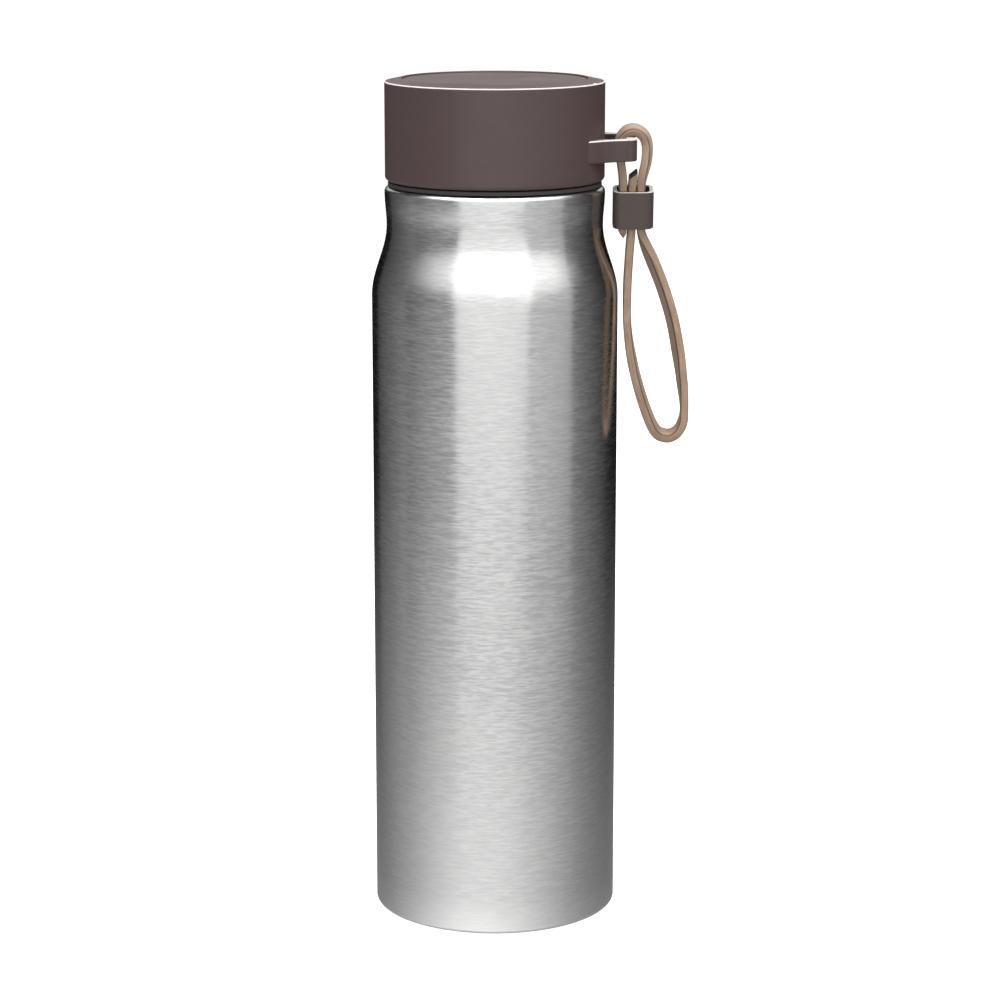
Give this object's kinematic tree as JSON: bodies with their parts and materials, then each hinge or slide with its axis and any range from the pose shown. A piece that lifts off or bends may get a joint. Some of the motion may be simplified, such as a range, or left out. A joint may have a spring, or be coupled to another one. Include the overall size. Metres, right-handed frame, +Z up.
{
  "type": "water bottle",
  "caption": "Double-walled steel drinking bottle with a screw cap, a side lug on the cap and a wrist strap held by a sliding keeper.",
  "frame": {"origin": "centre of the flat underside of the base, on the bottle's axis", "axes": "+Z up the bottle's axis, +X towards the lug and the strap, -Y towards the viewer"},
  "size_m": [0.0859, 0.0664, 0.229],
  "materials": {
    "brushed_steel": "brushed round the body",
    "flask_steel": "satin",
    "cap_plastic": "fine matte grain",
    "liner_plastic": "satin",
    "keeper_plastic": "satin",
    "strap_leather": "fine grain",
    "seal_rubber": "matte",
    "insulation_foam": "foam",
    "seal_glass": "solder glass",
    "getter_metal": "sintered"
  },
  "bodies": {
    "bottle": {"outer_shell": "brushed_steel", "inner_flask": "flask_steel", "base_plate": "brushed_steel", "base_cover": "brushed_steel", "vacuum_seal_bead": "seal_glass", "getter_pellet": "getter_metal", "neck_ring": "seal_rubber"},
    "seal": {"mouth_seal": "seal_rubber"},
    "cap": {"cap_shell": "cap_plastic", "cap_top_disc": "cap_plastic", "cap_liner": "liner_plastic", "cap_insulation": "insulation_foam"},
    "strap": {"strap": "strap_leather"},
    "keeper": {"keeper": "keeper_plastic"}
  },
  "joints": [
    {"name": "cap_rise", "type": "slide", "parent": "bottle", "child": "seal", "axis": [0, 0, 1], "range_m": [0, 0.016]},
    {"name": "cap_turn", "type": "hinge", "parent": "seal", "child": "cap", "pos_m": [0, 0, 0.21], "axis": [0, 0, 1], "range_deg": [0, 720]},
    {"name": "strap_swing", "type": "hinge", "parent": "cap", "child": "strap", "pos_m": [0.0364, 0, 0.2112], "axis": [0, -1, 0], "range_deg": [0, 150]},
    {"name": "keeper_slide", "type": "slide", "parent": "strap", "child": "keeper", "axis": [0, -0.1736, 0.9848], "range_m": [-0.0015, 0.003]}
  ],
  "couplings": [
    {"joint": "cap_rise", "follows": "cap_turn", "m_per_rad": 0.0012732}
  ]
}
